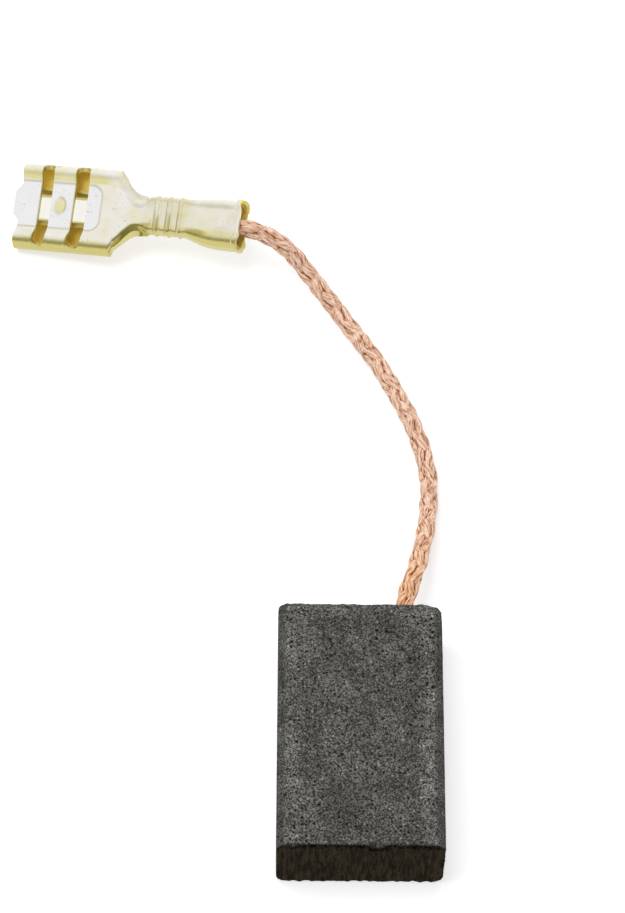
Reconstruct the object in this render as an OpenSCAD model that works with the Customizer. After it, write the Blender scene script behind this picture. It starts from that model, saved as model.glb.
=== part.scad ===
// Carbon brush with a braided copper shunt and a push-on receptacle terminal.
// The block lies on one of its two large faces. X runs across the block, Y along it
// (running face at -Y, shunt at +Y) and Z through its thickness. Millimetres.

/* [Carbon block] */
// Width of the block across X
block_w = 12.5; // [11:0.1:14]
// Length of the block along Y, from running face to shunt end
block_l = 20.3; // [16:0.1:25]
// Thickness of the block along Z
block_t = 6.3; // [5.5:0.1:8]
// Chamfer along the two long upper edges
top_chamfer = 0.7; // [0.3:0.05:1]
// Width of the rounding along the two long lower edges
low_round_w = 0.8; // [0.3:0.05:1.2]
// Height of the rounding along the two long lower edges
low_round_h = 1.5; // [0.3:0.05:1.8]
// Number of bedding-in ridges across the running face
ridge_count = 14; // [10:1:30]
// Depth of the grooves between the ridges
ridge_depth = 0.05; // [0.03:0.01:0.2]

/* [Shunt hole] */
// Distance of the shunt hole from the middle of the block
hole_x = 3.3; // [-3:0.1:3.4]
// Diameter of the shunt hole, filled by the tamped plug
hole_d = 3.0; // [2.4:0.1:3.4]
// Depth of the straight part of the shunt hole
hole_depth = 7; // [5.6:0.1:10]

/* [Braided shunt] */
// Diameter of the round braid
braid_d = 1.5; // [1.3:0.05:1.5]
// Width of the braid where the neck crimp flattens it
braid_flat_w = 1.9; // [1.5:0.1:2]
// Thickness of the braid where the neck crimp flattens it
braid_flat_t = 0.5; // [0.4:0.05:0.5]

/* [Terminal sheet] */
// Thickness of the brass sheet
sheet_t = 0.38; // [0.3:0.01:0.4]
// Length from the entry of the receptacle to the mouth of the barrel
term_l = 18.6; // [18.2:0.1:19.4]
// Direction of the terminal's axis on the surface, in degrees
term_yaw = -10.5; // [-12:0.5:-9]
// Rise of the terminal's axis towards the barrel, in degrees
term_pitch = 8; // [7:0.5:9]
// Roll of the terminal about its own axis, in degrees
term_roll = 21; // [19:0.5:23]

/* [Receptacle] */
// Length of the rolled receptacle
recep_l = 8.0; // [7.6:0.1:8.2]
// Outer width of the receptacle at its entry
recep_w = 7.1; // [7:0.02:7.2]
// Outer height of the receptacle over its rolls
recep_h = 2.42; // [2.3:0.02:2.5]
// Gap between the two roll edges
roll_gap = 1.8; // [1.4:0.1:2]
// Middle of the slot near the entry
slot_a_u = 2.1; // [1.9:0.05:2.2]
// Width of the slot near the entry
slot_a_w = 0.85; // [0.6:0.05:0.9]
// Middle of the slot near the shoulder
slot_b_u = 5.1; // [5:0.05:5.3]
// Width of the slot near the shoulder
slot_b_w = 1.05; // [0.7:0.05:1.1]
// How far down the side bends the slots reach
slot_reach = 0.55; // [0.45:0.01:0.6]
// Half width of the raised platform on the flat base
pad_half = 1.86; // [1.6:0.01:2]
// Height of the raised platform
pad_rise = 0.06; // [0.03:0.01:0.1]
// Position of the locking dimple along the receptacle
dimple_u = 3.4; // [3.2:0.05:3.6]
// Diameter of the locking dimple
dimple_d = 1.2; // [0.9:0.05:1.3]

/* [Crimp] */
// Outer width of the serrated neck crimp
neck_w = 3.06; // [2.9:0.02:3.2]
// Outer height of the neck crimp
neck_h = 1.7; // [1.64:0.02:1.8]
// Number of ribs round the neck crimp
rib_count = 5; // [2:1:5]
// Height of the neck ribs
rib_rise = 0.06; // [0.02:0.01:0.08]
// Outer width of the barrel at its mouth
barrel_w = 4.18; // [4:0.02:4.3]
// Outer height of the barrel at its mouth
barrel_h = 3.0; // [2.9:0.02:3.1]

/* [Hidden] */
$fn = 48;
past = 1;                             // how far a cutter reaches past a face
mid_z = block_t / 2;
end_y = block_l / 2;                  // the shunt end of the block

// Chips along the upper edge of the running face: x, radius, depth below the edge
chips = [[1.2, 1.0, 0.28], [-5.1, 0.6, 0.2]];
worn_corner = [0.9, 0.4];             // what handling has taken off one rear corner

// ---------------------------------------------------------------- terminal frame
// u runs along the axis from the entry, v across, n out of the flat base.
term_at = [-27.8, 49.1, 3.16];

function rot_x(a, p) =
    [p[0], p[1] * cos(a) - p[2] * sin(a), p[1] * sin(a) + p[2] * cos(a)];
function rot_y(a, p) =
    [p[0] * cos(a) + p[2] * sin(a), p[1], p[2] * cos(a) - p[0] * sin(a)];
function rot_z(a, p) =
    [p[0] * cos(a) - p[1] * sin(a), p[0] * sin(a) + p[1] * cos(a), p[2]];

// A point of the terminal's own frame, in the brush's frame
function on_terminal(p) =
    term_at + rot_z(term_yaw, rot_y(-term_pitch, rot_x(term_roll, p)));

// ---------------------------------------------------------------- braid route
braid_sides = 8;
braid_embed = 5;                      // length of braid tamped into the block
lie = 0.8;                            // height of the braid's middle where it lies
crimp_v = -0.3;                       // the braid sits a little off the barrel's middle
flat_reach = sin(90 - 180 / braid_sides); // of a flattened ring, for its half height
crimp_n = -(sheet_t + flat_reach * braid_flat_t / 2);

route = [
    [hole_x, end_y - braid_embed, mid_z], [hole_x, end_y, mid_z],
    [3.6, 12.3, 3.1], [4.4, 15, 2.8], [5.1, 18.1, 2.1], [5.5, 21.2, 1.3],
    [5.6, 24.2, lie], [5.1, 27.1, lie], [4.2, 29.9, lie], [2.9, 32.7, lie],
    [1.5, 35.4, lie], [-0.3, 38.1, 0.9], [-2.1, 40.6, 1.3], [-3.7, 42.5, 2.1],
    [-5.3, 44.1, 3.2], [-7.1, 45.1, 4.2],
    on_terminal([term_l, crimp_v, -1.2]), on_terminal([16.6, crimp_v, -1.2]),
    on_terminal([15.2, -0.2, -1.15]), on_terminal([14.3, 0, crimp_n - 0.05]),
    on_terminal([13.8, 0, crimp_n]), on_terminal([11.4, 0, crimp_n])];
flat_rings = 3;                       // rings of the route that the crimp flattens

function unit(a) = a / norm(a);
function mix(a, b, k) = a + (b - a) * k;
function heading(i) =
    unit(route[min(i + 1, len(route) - 1)] - route[max(i - 1, 0)]);

// Roll of the ring's cross-section: it turns with the terminal in the last rings
function ring_roll(i) = term_roll * max(0, min(1, (i - len(route) + 8) / 4));
function is_flat(i) = i >= len(route) - flat_rings;
function ring_w(i) = (is_flat(i) ? braid_flat_w : braid_d) / 2;
function ring_t(i) = (is_flat(i) ? braid_flat_t : braid_d) / 2;

function braid_ring(i) =
    let (d = heading(i),
         side = unit(cross(d, [0, 0, 1])),
         up = cross(side, d),
         r = ring_roll(i),
         a = side * cos(r) + up * sin(r),
         b = up * cos(r) - side * sin(r))
    [for (k = [0:braid_sides - 1])
        let (t = 360 * (k + 0.5) / braid_sides)
        route[i] + a * ring_w(i) * cos(t) + b * ring_t(i) * sin(t)];

// ---------------------------------------------------------------- folded strip
bend_steps = 8;                       // chords in each side bend
curl_steps = 6;                       // chords in each rolled edge
half_points = bend_steps + curl_steps + 3;

strip_mid = -sheet_t / 2;             // the middle of the flat base's sheet

// One half of the folded strip's section, d outside the middle of the sheet: flat
// base, half-round side bend, floor of the roll, curled edge and its straight tip.
// s holds [width, height, curl radius, curl angle, gap between edges, tip length].
function half_path(s, d) =
    let (r = (s[1] - sheet_t) / 2,
         b = (s[0] - s[1]) / 2,
         floor_v = s[4] / 2 + s[2] + sheet_t / 2,
         curl = [floor_v, s[2] - 2 * r],
         last = -90 - s[3],
         end = curl + (s[2] + d) * [cos(last), sin(last)])
    concat(
        [[b, d]],
        [for (i = [1:bend_steps])
            let (a = 90 - 180 * i / bend_steps)
            [b, -r] + (r + d) * [cos(a), sin(a)]],
        [for (i = [0:curl_steps])
            let (a = -90 - s[3] * i / curl_steps)
            curl + (s[2] + d) * [cos(a), sin(a)]],
        [end + s[5] * [sin(last), -cos(last)]]);

// The section as a closed outline in the plane at u: right outside, right inside
// back, left inside out, left outside back.
function reversed(l) = [for (i = [len(l) - 1:-1:0]) l[i]];
function mirrored(l) = [for (p = l) [-p[0], p[1]]];
function section(u, s) =
    let (out = half_path(s, sheet_t / 2),
         inn = half_path(s, -sheet_t / 2),
         ring = concat(out, reversed(inn), mirrored(inn), reversed(mirrored(out))))
    [for (p = ring) [u, p[0], p[1] + strip_mid]];

// Rows of the strip: place along u and the section there
function row(u, w, h, curl = 0.3, angle = 90, gap = 0.1, tip = 0.25) =
    [u, [w, h, curl, angle, gap, tip]];

neck_from = 10.9;
shoulder_to = neck_from + 0.2;        // the low walls end just inside the crimp
recep_flare = 0.24;                   // the receptacle is wider at its shoulder end
rib_pitch = 0.51;
rib_from = neck_from + 0.56;          // the first rib's crest
rib_flank = 0.16;
neck_to = 13.85;
rib_rows = [for (i = [0:rib_count - 1], k = [-1:1])
    let (rise = k == 0 ? rib_rise : 0)
    row(rib_from + i * rib_pitch + k * rib_flank, neck_w + 2 * rise, neck_h + rise,
        0.25, 90, 0.06, 0.15)];

rows = concat(
    [row(0, recep_w, recep_h, 0.65, 126, roll_gap, 0.1),
     row(recep_l, recep_w + recep_flare, recep_h, 0.65, 126, roll_gap, 0.1),
     row(8.3, 6.3, 2.42, 0.6, 120, 1.4, 0.1),
     row(8.6, 5.5, 2.42, 0.5, 110, 0.9),
     row(9.0, 4.6, 2.4, 0.4, 100, 0.5),
     row(9.5, 4.15, 2.35),
     row(10.2, 3.7, 2.2),
     row(neck_from, neck_w + 0.1, neck_h + 0.15, 0.25, 90, 0.06, 0.15)],
    rib_rows,
    [row(neck_to, neck_w, neck_h, 0.25, 90, 0.06, 0.15),
     row(14.3, 3.3, 2.1, 0.3, 90, 0.08, 0.2),
     row(14.8, 3.7, 2.6),
     row(15.4, 3.95, 2.85),
     row(16.4, 4.08, 2.95),
     row(term_l, barrel_w, barrel_h)]);

// ---------------------------------------------------------------- solids
// A closed solid skinned over rings of points; caps lists the faces of one end
module skin(rings, start_faces, end_faces) {
    n = len(rings[0]);
    last = (len(rings) - 1) * n;
    points = [for (r = rings, p = r) p];
    walls = [for (i = [0:len(rings) - 2], j = [0:n - 1])
        let (a = i * n + j, b = i * n + (j + 1) % n)
        each [[a, b, b + n], [a, b + n, a + n]]];
    starts = [for (f = start_faces) reversed(f)];
    ends = [for (f = end_faces) [for (k = f) k + last]];
    polyhedron(points, concat(walls, starts, ends), convexity = 10);
}

// Quads that close one end of the folded strip between its outside and inside
function strip_cap() =
    let (h = half_points, n = 4 * h)
    concat(
        [for (i = [0:h - 2]) [i, i + 1, 2 * h - 2 - i, 2 * h - 1 - i]],
        [for (i = [0:h - 2]) [2 * h + i, 2 * h + i + 1, n - 2 - i, n - 1 - i]],
        [[0, 2 * h - 1, 2 * h, n - 1]]);

module folded_strip() {
    skin([for (r = rows) section(r[0], r[1])], strip_cap(), strip_cap());
}

// Outline of the raised platform seen from above: lip, long sides and rounded end
platform_end = 7.0;
platform_round = 0.8;
platform_sink = sheet_t - 0.06;       // how deep its solid reaches into the sheet
lip = 0.5;                            // length of the lead-in lip past the entry
lip_half = [0.95, 1.5];               // half width of the lip at its tip and root
module platform_outline() {
    straight = platform_end - platform_round;
    polygon([[-lip, -lip_half[0]], [-lip, lip_half[0]], [0, lip_half[1]],
             [0.05, pad_half], [straight, pad_half],
             [straight, -pad_half], [0.05, -pad_half], [0, -lip_half[1]]]);
    translate([straight - 0.1, platform_round - pad_half])
        square([platform_round + 0.1, 2 * (pad_half - platform_round)]);
    for (v = [-1, 1])
        translate([straight, v * (pad_half - platform_round)])
            circle(platform_round);
}

module platform() {
    translate([0, 0, -platform_sink])
        linear_extrude(platform_sink + pad_rise)
            platform_outline();
}

// The locking dimple is a cap of a ball, pressed from the platform's side
dimple_deep = 0.2;
dimple_thin = 0.8;                    // share of the sheet left under the dimple
dimple_ball = (pow(dimple_d / 2, 2) + pow(dimple_deep, 2)) / (2 * dimple_deep);
module dimple(grow) {
    translate([dimple_u, 0, pad_rise - dimple_deep + dimple_ball])
        sphere(dimple_ball + grow);
}

module dimple_bump() {
    intersection() {
        dimple(sheet_t * dimple_thin);
        translate([dimple_u, 0, -sheet_t])
            cylinder(d = 2 * dimple_d, h = sheet_t);
    }
}

// A cutter across the base that stops in a round end on the side bends
module slot(u, w) {
    translate([u, recep_w, 0])
        rotate([90, 0, 0])
            linear_extrude(2 * recep_w) {
                translate([-w / 2, w / 2 - slot_reach])
                    square([w, past + slot_reach]);
                translate([0, w / 2 - slot_reach])
                    circle(w / 2);
            }
}

// The rolls stop at the shoulder, where only low walls carry on to the neck crimp
module shoulder_gap() {
    translate([recep_l, -recep_w, -recep_h - past])
        cube([shoulder_to - recep_l, 2 * recep_w, past + recep_h / 2]);
}

// Rounds one corner of the receptacle's entry, seen from above
entry_round = 0.6;
module entry_corner(side) {
    translate([0, side * (recep_w / 2 + recep_flare / 8), -recep_h - past])
        mirror([0, side > 0 ? 1 : 0, 0])
            linear_extrude(recep_h + 2 * past)
                difference() {
                    translate([-past, -past])
                        square(entry_round + past);
                    translate([entry_round, entry_round])
                        circle(entry_round);
                }
}

module push_on_terminal() {
    color("khaki")
        translate(term_at)
            rotate([0, 0, term_yaw])
                rotate([0, -term_pitch, 0])
                    rotate([term_roll, 0, 0])
                        difference() {
                            union() {
                                folded_strip();
                                platform();
                                dimple_bump();
                            }
                            slot(slot_a_u, slot_a_w);
                            slot(slot_b_u, slot_b_w);
                            shoulder_gap();
                            entry_corner(-1);
                            entry_corner(1);
                            dimple(0);
                        }
}

module shunt_braid() {
    disc = [[for (k = [0:braid_sides - 1]) k]];
    color("peru")
        skin([for (i = [0:len(route) - 1]) braid_ring(i)], disc, disc);
}

// The shunt hole: a straight bore that ends in the drill's cone
drill_cone = 0.6;                     // height of a drill point for its radius
braid_ease = 0.01;                    // room between the braid and the powder
module shunt_bore() {
    translate([hole_x, end_y - hole_depth, mid_z])
        rotate([-90, 0, 0]) {
            cylinder(d = hole_d, h = hole_depth);
            translate([0, 0, -drill_cone * hole_d / 2])
                cylinder(d1 = 0, d2 = hole_d, h = drill_cone * hole_d / 2);
        }
}

// Copper powder tamped round the end of the braid
module tamping_plug() {
    color("sienna")
        difference() {
            shunt_bore();
            translate([hole_x, end_y - braid_embed, mid_z])
                rotate([-90, 0, 0])
                    cylinder(d = braid_d + 2 * braid_ease, h = braid_embed + past);
        }
}

// Plan of the block: square shunt end with one worn corner, and fine ridges in front
module block_plan() {
    pitch = block_w / ridge_count;
    ridges = [for (i = [0:ridge_count - 1], k = [0, 1])
        [-block_w / 2 + (i + 0.5 * k) * pitch,
         -end_y + (k == 0 ? ridge_depth : 0)]];
    polygon(concat(ridges,
        [[block_w / 2, ridge_depth - end_y],
         [block_w / 2, end_y - worn_corner[1]], [block_w / 2 - worn_corner[0], end_y],
         [-block_w / 2, end_y]]));
}

// Section of the block across its length: bevels above, rounded edges below
low_steps = 4;
module block_section() {
    w = block_w / 2;
    low_edge = [for (i = [0:low_steps])
        let (a = 90 * i / low_steps)
        [w - low_round_w * (1 - sin(a)), low_round_h * (1 - cos(a))]];
    half = concat(low_edge, [[w, block_t - top_chamfer], [w - top_chamfer, block_t]]);
    polygon(concat(half, reversed(mirrored(half))));
}

module edge_chips() {
    for (c = chips)
        translate([c[0], -end_y, block_t + c[1] - c[2]])
            sphere(c[1]);
}

module carbon_block() {
    color("dimgray")
        difference() {
            intersection() {
                linear_extrude(block_t)
                    block_plan();
                translate([0, end_y + past, 0])
                    rotate([90, 0, 0])
                        linear_extrude(block_l + 2 * past)
                            block_section();
            }
            shunt_bore();
            edge_chips();
        }
}

carbon_block();
tamping_plug();
shunt_braid();
push_on_terminal();
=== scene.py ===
"""Looks of a carbon brush: sintered block, braided copper shunt and folded push-on terminal.

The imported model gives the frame: X across the block, Y along it towards the shunt, Z up.
Blender works in metres. Sizes of the brush's own parts are written in millimetres and
multiplied by MM where a mesh is made.
"""

from __future__ import annotations

import bisect
import logging
import math
import random
from dataclasses import astuple, dataclass, field, replace
from enum import Enum
from typing import Callable, Iterable, Sequence

import bpy
from mathutils import Matrix, Vector, noise

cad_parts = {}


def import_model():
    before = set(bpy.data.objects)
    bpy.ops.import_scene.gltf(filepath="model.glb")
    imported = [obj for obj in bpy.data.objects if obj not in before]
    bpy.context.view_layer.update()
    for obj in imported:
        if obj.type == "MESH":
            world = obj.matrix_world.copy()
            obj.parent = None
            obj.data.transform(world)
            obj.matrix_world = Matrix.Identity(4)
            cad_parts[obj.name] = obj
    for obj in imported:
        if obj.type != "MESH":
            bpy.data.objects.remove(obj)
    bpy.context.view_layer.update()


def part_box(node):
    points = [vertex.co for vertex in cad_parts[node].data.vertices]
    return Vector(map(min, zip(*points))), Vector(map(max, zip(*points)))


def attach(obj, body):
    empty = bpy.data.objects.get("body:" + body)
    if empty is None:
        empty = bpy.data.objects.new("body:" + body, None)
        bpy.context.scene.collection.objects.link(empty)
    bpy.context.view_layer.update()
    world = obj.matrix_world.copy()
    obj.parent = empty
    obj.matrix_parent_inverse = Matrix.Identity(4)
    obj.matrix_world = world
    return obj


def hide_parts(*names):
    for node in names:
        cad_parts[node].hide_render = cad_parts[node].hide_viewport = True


MM = 0.001
SAME = 1e-4
LOG = logging.getLogger("carbon_brush")

Point = tuple[float, float, float]


class Slot(Enum):
    """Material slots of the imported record."""

    CARBON = "carbon"
    POWDER = "copper_powder"
    BRAID = "copper_braid"
    BRASS = "brass_sheet"


# --------------------------------------------------------------------------- small maths
def smooth_step(x: float) -> float:
    """Eases from 0 to 1 with level ends; x outside 0..1 is held there."""
    x = min(1.0, max(0.0, x))
    return x * x * (3.0 - 2.0 * x)


def fade(x: float, low: float, high: float) -> float:
    """How far x has come from low to high, eased. low may be the larger."""
    return smooth_step((x - low) / (high - low))


def lerp(a: float, b: float, k: float) -> float:
    """The value a share k of the way from a to b."""
    return a + (b - a) * k


def rolled(side: Vector, up: Vector, angle: float) -> tuple[Vector, Vector]:
    """Turns a side and an up direction about the way they face, by radians."""
    return (
        side * math.cos(angle) + up * math.sin(angle),
        up * math.cos(angle) - side * math.sin(angle),
    )


def grain(p: Sequence[float], scale: float, seed: float = 0.0) -> float:
    """Smooth noise from -1 to 1 at a point, the same on every run.

    Args:
        p: Place, in millimetres.
        scale: Size of one lump, in millimetres.
        seed: Moves the pattern, so that two uses differ.

    Returns:
        The noise value.
    """
    return noise.noise(Vector(p) / scale + Vector((seed, 2.0 * seed, -seed)))


# --------------------------------------------------------------------------- shader maths
def joined(operation: str, swapped: bool = False) -> Callable[..., Number]:
    """A method of Number that joins it to another term with one Math node.

    Args:
        operation: The node's operation.
        swapped: Whether the other term comes first.

    Returns:
        The method.
    """

    def method(self: Number, other: Number | float) -> Number:
        """Joins the number and the other term."""
        return self.join(operation, *((other, self) if swapped else (self, other)))

    return method


class Number:
    """A number socket of a shader, on which plain arithmetic adds Math nodes."""

    def __init__(self, shader: Shader, socket: bpy.types.NodeSocket) -> None:
        """Wraps one output socket."""
        self.shader = shader
        self.socket = socket

    def join(self, operation: str, *terms: Number | float) -> Number:
        """Adds one Math node on these terms."""
        node = self.shader.node("Math", {"operation": operation}, dict(enumerate(terms)))
        return Number(self.shader, node.outputs[0])

    __add__ = joined("ADD")
    __radd__ = __add__
    __sub__ = joined("SUBTRACT")
    __rsub__ = joined("SUBTRACT", swapped=True)
    __mul__ = joined("MULTIPLY")
    most = joined("MAXIMUM")

    def sine(self) -> Number:
        """Sine of the value in radians."""
        return self.join("SINE", self)

    def rise(self, low: float, high: float) -> Number:
        """Eases from 0 at low to 1 at high; low may be the larger."""
        flip = low > high
        ends = {1: min(low, high), 2: max(low, high), 3: float(flip), 4: float(not flip)}
        node = self.shader.node(
            "MapRange", {"interpolation_type": "SMOOTHSTEP"}, {0: self, **ends}
        )
        return Number(self.shader, node.outputs[0])


Colour = tuple[float, float, float]


class Shader:
    """The nodes of one material or of the world, built through a few short methods."""

    def __init__(self, name: str, world: bool = False) -> None:
        """Makes an empty material, or world, with its output."""
        family = bpy.data.worlds if world else bpy.data.materials
        self.material = family.new(name)
        self.material.use_nodes = True
        self.tree = self.material.node_tree
        self.tree.nodes.clear()
        self.output = self.tree.nodes.new(f"ShaderNodeOutput{'World' if world else 'Material'}")

    def node(
        self, kind: str, settings: dict | None = None, inputs: dict | None = None
    ) -> bpy.types.Node:
        """Adds a node.

        Args:
            kind: The node's type, without the ShaderNode that it starts with.
            settings: Its properties, set first; "stops" fills a colour ramp.
            inputs: Values or links of its sockets, by name or number.

        Returns:
            The new node.
        """
        node = self.tree.nodes.new(f"ShaderNode{kind}")
        for key, value in (settings or {}).items():
            if key == "stops":
                self._fill_ramp(node.color_ramp, value)
            else:
                setattr(node, key, value)
        for key, value in (inputs or {}).items():
            self._feed(node.inputs[key], value)
        return node

    @staticmethod
    def _fill_ramp(ramp: bpy.types.ColorRamp, stops: Sequence[tuple[float, Colour]]) -> None:
        """Gives a colour ramp its stops."""
        while len(ramp.elements) < len(stops):
            ramp.elements.new(0.5)
        for element, (place, colour) in zip(ramp.elements, stops):
            element.position = place
            element.color = (*colour, 1.0)

    def _feed(self, socket: bpy.types.NodeSocket, value: object) -> None:
        """Sets a socket's value, or links it to another socket."""
        if isinstance(value, Number):
            value = value.socket
        if isinstance(value, bpy.types.NodeSocket):
            self.tree.links.new(value, socket)
        elif socket.type == "RGBA" and len(value) == 3:
            socket.default_value = (*value, 1.0)
        else:
            socket.default_value = value

    def number(self, node: bpy.types.Node, output: int | str = 0) -> Number:
        """One of a node's outputs, as a number."""
        return Number(self, node.outputs[output])

    def place(self) -> bpy.types.NodeSocket:
        """Object coordinates in metres."""
        return self.node("TexCoord").outputs["Object"]

    def stretched(self, scale: Point, turn: Point = (0.0, 0.0, 0.0)) -> bpy.types.NodeSocket:
        """Object coordinates turned, then multiplied by a scale on each axis."""
        node = self.node(
            "Mapping", {"vector_type": "TEXTURE"},
            {"Vector": self.place(), "Scale": tuple(1.0 / k for k in scale), "Rotation": turn},
        )
        return node.outputs[0]

    def noise(
        self,
        lumps_mm: float,
        detail: float = 2.0,
        roughness: float = 0.5,
        vector: bpy.types.NodeSocket | None = None,
    ) -> Number:
        """Noise whose lumps are about this many millimetres across."""
        inputs = {"Vector": vector or self.place(), "Scale": 1.0 / (lumps_mm * MM)}
        inputs |= {"Detail": detail, "Roughness": roughness}
        return self.number(self.node("TexNoise", {}, inputs))

    def ramp(self, level: Number, stops: Sequence[tuple[float, Colour]]) -> bpy.types.NodeSocket:
        """Colour that a ramp gives a number."""
        return self.node("ValToRGB", {"stops": stops}, {0: level}).outputs[0]

    def attribute(self, name: str) -> Number:
        """A number stored on the mesh's points."""
        return self.number(self.node("Attribute", {"attribute_name": name}), "Fac")

    def blend(
        self, share: Number | float, low: object, high: object, how: str = "MIX"
    ) -> bpy.types.NodeSocket:
        """Mixes two colours by a share."""
        node = self.node("Mix", {"data_type": "RGBA", "blend_type": how})
        for key, value in ((0, share), (6, low), (7, high)):
            self._feed(node.inputs[key], value)
        return node.outputs[2]

    def bump(
        self, height: Number, depth_mm: float, below: bpy.types.NodeSocket | None = None
    ) -> bpy.types.NodeSocket:
        """Bump of this depth, laid over another bump where one is given."""
        inputs = {"Strength": 1.0, "Distance": depth_mm * MM, "Height": height}
        if below is not None:
            inputs["Normal"] = below
        return self.node("Bump", {}, inputs).outputs[0]

    def grey(self, value: Number) -> bpy.types.NodeSocket:
        """A grey as light as a number."""
        return self.node("CombineColor", {}, {0: value, 1: value, 2: value}).outputs[0]

    def axis(self, vector: bpy.types.NodeSocket, number: int) -> Number:
        """X, Y or Z of a vector, by its number."""
        return self.number(self.node("SeparateXYZ", {}, {0: vector}), number)

    def cells(self, size_mm: float, shift: float = 0.0) -> tuple[Number, Number]:
        """Scattered cells: distance from each centre in cell sizes, and a random share."""
        vector = self.node(
            "Mapping", {}, {"Vector": self.place(), "Location": (shift, -shift, shift)}
        ).outputs[0]
        node = self.node(
            "TexVoronoi", {}, {"Vector": vector, "Scale": 1.0 / (size_mm * MM)}
        )
        chance = self.node("SeparateColor", {}, {0: node.outputs["Color"]})
        return self.number(node, "Distance"), self.number(chance, 0)

    def surface(self, **inputs: object) -> bpy.types.Material:
        """Closes the material with a Principled shader, its sockets given by name."""
        named = {key.replace("_", " "): value for key, value in inputs.items()}
        return self.close(self.node("BsdfPrincipled", {}, named))

    def close(self, shader: bpy.types.Node) -> bpy.types.Material:
        """Links a shader to the output and returns the material or world."""
        self.tree.links.new(shader.outputs[0], self.output.inputs["Surface"])
        return self.material

    def seen(self) -> Number:
        """1 for rays of the eye, of reflections and of glass, 0 for light on its way."""
        path = self.node("LightPath")
        kinds = ("Is Camera Ray", "Is Glossy Ray", "Is Transmission Ray")
        first, second, third = (self.number(path, kind) for kind in kinds)
        return first.most(second).most(third)


# --------------------------------------------------------------------------- finishes
@dataclass(frozen=True)
class SinteredCarbon:
    """Pressed and fired carbon-graphite: dark grains, pale flakes and fine pores, with painted shade
    on the chamfers and on the running face.
    """

    dark: Colour = (0.008, 0.007, 0.005)
    low: Colour = (0.036, 0.032, 0.025)
    body: Colour = (0.078, 0.075, 0.067)
    high: Colour = (0.185, 0.187, 0.184)
    flake: Colour = (0.30, 0.295, 0.275)
    pore: Colour = (0.005, 0.0045, 0.004)
    # Running face colours: its real worn sheen, made darker still as painted shade of a face turned
    # away from the top light.
    worn_and_shaded_dark: Colour = (0.002, 0.0015, 0.001)
    worn_and_shaded_high: Colour = (0.042, 0.036, 0.026)
    grain_mm: float = 0.115
    half_width: float = 0.0063
    rim_band: tuple[float, float] = (0.0024, 0.0010)
    # Band across which painted shade darkens the chamfers.
    chamfer_shade_band: tuple[float, float] = (0.00075, 0.00055)
    running_band: tuple[float, float] = (0.0004, 0.00012)

    def material(self, running_y: float) -> bpy.types.Material:
        """Builds the material.

        Args:
            running_y: Where the running face lies along Y, in metres.

        Returns:
            The finished material.
        """
        s = Shader("sintered_carbon")
        fine = s.noise(self.grain_mm, 2.0, 0.8)
        left, right = (
            s.noise(self.grain_mm, 2.0, 0.7, s.stretched((1.0, 0.45, 1.0), (0.0, 0.0, a)))
            for a in (0.8, -0.75)
        )
        tone = fine * 0.62 + left * 0.23 + right * 0.15
        stops = ((0.415, self.dark), (0.46, self.low), (0.51, self.body), (0.575, self.high))
        base = s.ramp(tone, stops)
        speckled = s.blend(self._flakes(s), base, self.flake)
        x = s.axis(s.place(), 0)
        out = x.most(x * -1.0)
        # Random clouds of tone, a lighter band along the top face near its long edges, and painted
        # shade darkening the chamfers.
        rim = out.rise(*(self.half_width - inset for inset in self.rim_band))
        chamfer_shade = out.rise(*(self.half_width - inset for inset in self.chamfer_shade_band))
        cloud = s.noise(3.0, 4.0, 0.68).rise(0.34, 0.68) * 0.54 + rim * 0.36 - chamfer_shade * 0.48
        clouded_and_shaded = s.blend(1.0, speckled, s.grey(cloud + 0.75), "MULTIPLY")
        pores = self._pores(s)
        pitted = s.blend(pores, clouded_and_shaded, self.pore)
        # The running face takes the darker worn colours: partly real wear, partly painted shade.
        running = s.axis(s.place(), 1).rise(*(running_y + inset for inset in self.running_band))
        streak = s.noise(0.26, 2.0, 0.7, s.stretched((1.0, 1.0, 0.14))) * 0.55 + fine * 0.45
        worn = s.blend(streak.rise(0.42, 0.60), self.worn_and_shaded_dark, self.worn_and_shaded_high)
        return s.surface(
            Base_Color=s.blend(running, pitted, worn),
            Metallic=(running * 0.95),
            Roughness=(fine * 0.3 + running * 0.15 + 0.5),
            Specular_IOR_Level=0.2,
            Specular_Tint=(0.94, 0.82, 0.68),
            Normal=s.bump(tone - pores * 0.6, 0.07),
        )

    @staticmethod
    def _flakes(s: Shader) -> Number:
        """Mask of the small pale flakes of graphite."""
        distance, chance = s.cells(0.26)
        ragged = distance + (s.noise(0.12, 1.0, 0.5) - 0.5) * 0.5
        return ragged.rise(0.40, 0.22) * chance.rise(0.88, 0.99)

    @staticmethod
    def _pores(s: Shader) -> Number:
        """Mask of the open pores: many pin holes and a few larger ones, 1 inside them."""
        pin, pin_chance = s.cells(0.30, 0.4)
        large, large_chance = s.cells(0.85, 0.7)
        pins = pin.rise(0.44, 0.24) * pin_chance.rise(0.70, 0.80)
        pits = large.rise(0.20, 0.12) * large_chance.rise(0.80, 0.83)
        return pins.most(pits)


@dataclass(frozen=True)
class TampedPowder:
    """Copper powder rammed round the braid: matt, coarse and brown."""

    light: Colour = (0.50, 0.26, 0.15)
    dark: Colour = (0.12, 0.055, 0.03)

    def material(self) -> bpy.types.Material:
        """Builds the material."""
        s = Shader("tamped_powder")
        lumps = s.noise(0.14, 3.0, 0.65)
        colour = s.blend(lumps.rise(0.36, 0.66), self.dark, self.light)
        return s.surface(
            Base_Color=colour, Metallic=0.55, Roughness=0.62, Normal=s.bump(lumps, 0.08)
        )


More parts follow.
